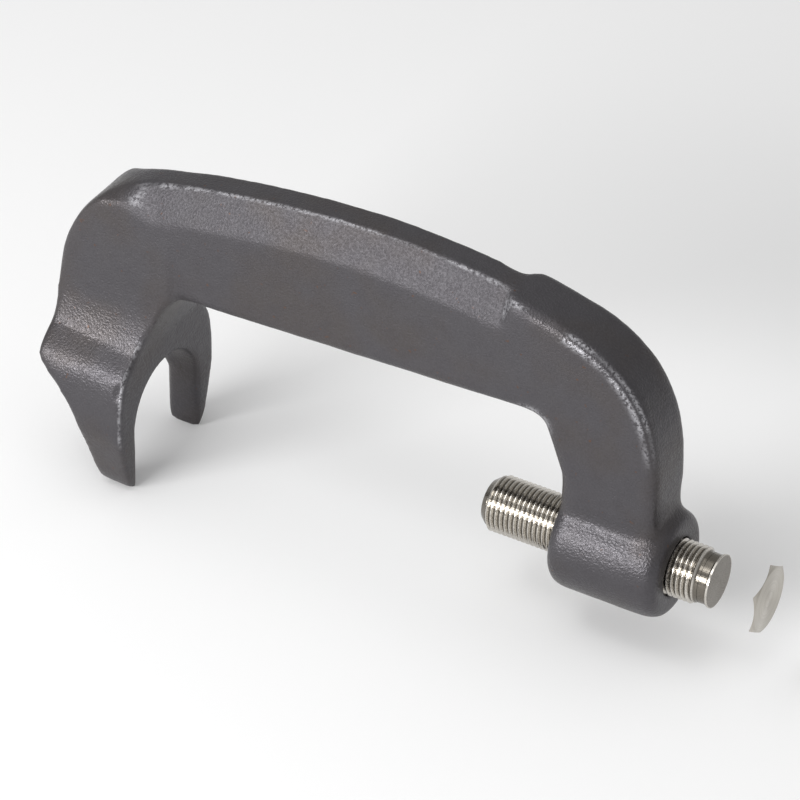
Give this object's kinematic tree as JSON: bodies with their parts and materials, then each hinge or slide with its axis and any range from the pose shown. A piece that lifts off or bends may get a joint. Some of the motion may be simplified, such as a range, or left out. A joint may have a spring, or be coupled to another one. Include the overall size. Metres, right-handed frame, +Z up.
{
  "type": "coil spring compressor",
  "caption": "Forged C-frame press: a forked jaw at one end and a threaded boss at the other, with a fine-thread forcing screw that turns towards the fork.",
  "frame": {"origin": "middle of the bounding box's underside, level with the tips of the fork", "axes": "+X along the forcing screw, from the fork to the hexagon head; +Z up, from the fork's tips to the back of the C; +Y across the thickness"},
  "size_m": [0.2128, 0.0488, 0.1023],
  "materials": {
    "forged_steel": "dark grey oxide finish on a grainy forged surface, satin",
    "bright_steel": "bright, turned thread, flats with fine drawn lines",
    "bearing_steel": "polished hardened steel"
  },
  "bodies": {
    "frame": {"forged_frame": "forged_steel"},
    "ball": {"thrust_ball": "bearing_steel"},
    "screw": {"forcing_screw": "bright_steel"}
  },
  "joints": [
    {"name": "screw_advance", "type": "slide", "parent": "frame", "child": "ball", "axis": [-1, 0, 0], "range_m": [-0.02328, 0.01093]},
    {"name": "screw_turn", "type": "hinge", "parent": "ball", "child": "screw", "pos_m": [0.04785, 0, 0.0258], "axis": [-1, 0, 0], "range_deg": [-5940, 2790]}
  ],
  "couplings": [
    {"joint": "screw_turn", "follows": "screw_advance", "rad_per_m": 4452.7}
  ]
}
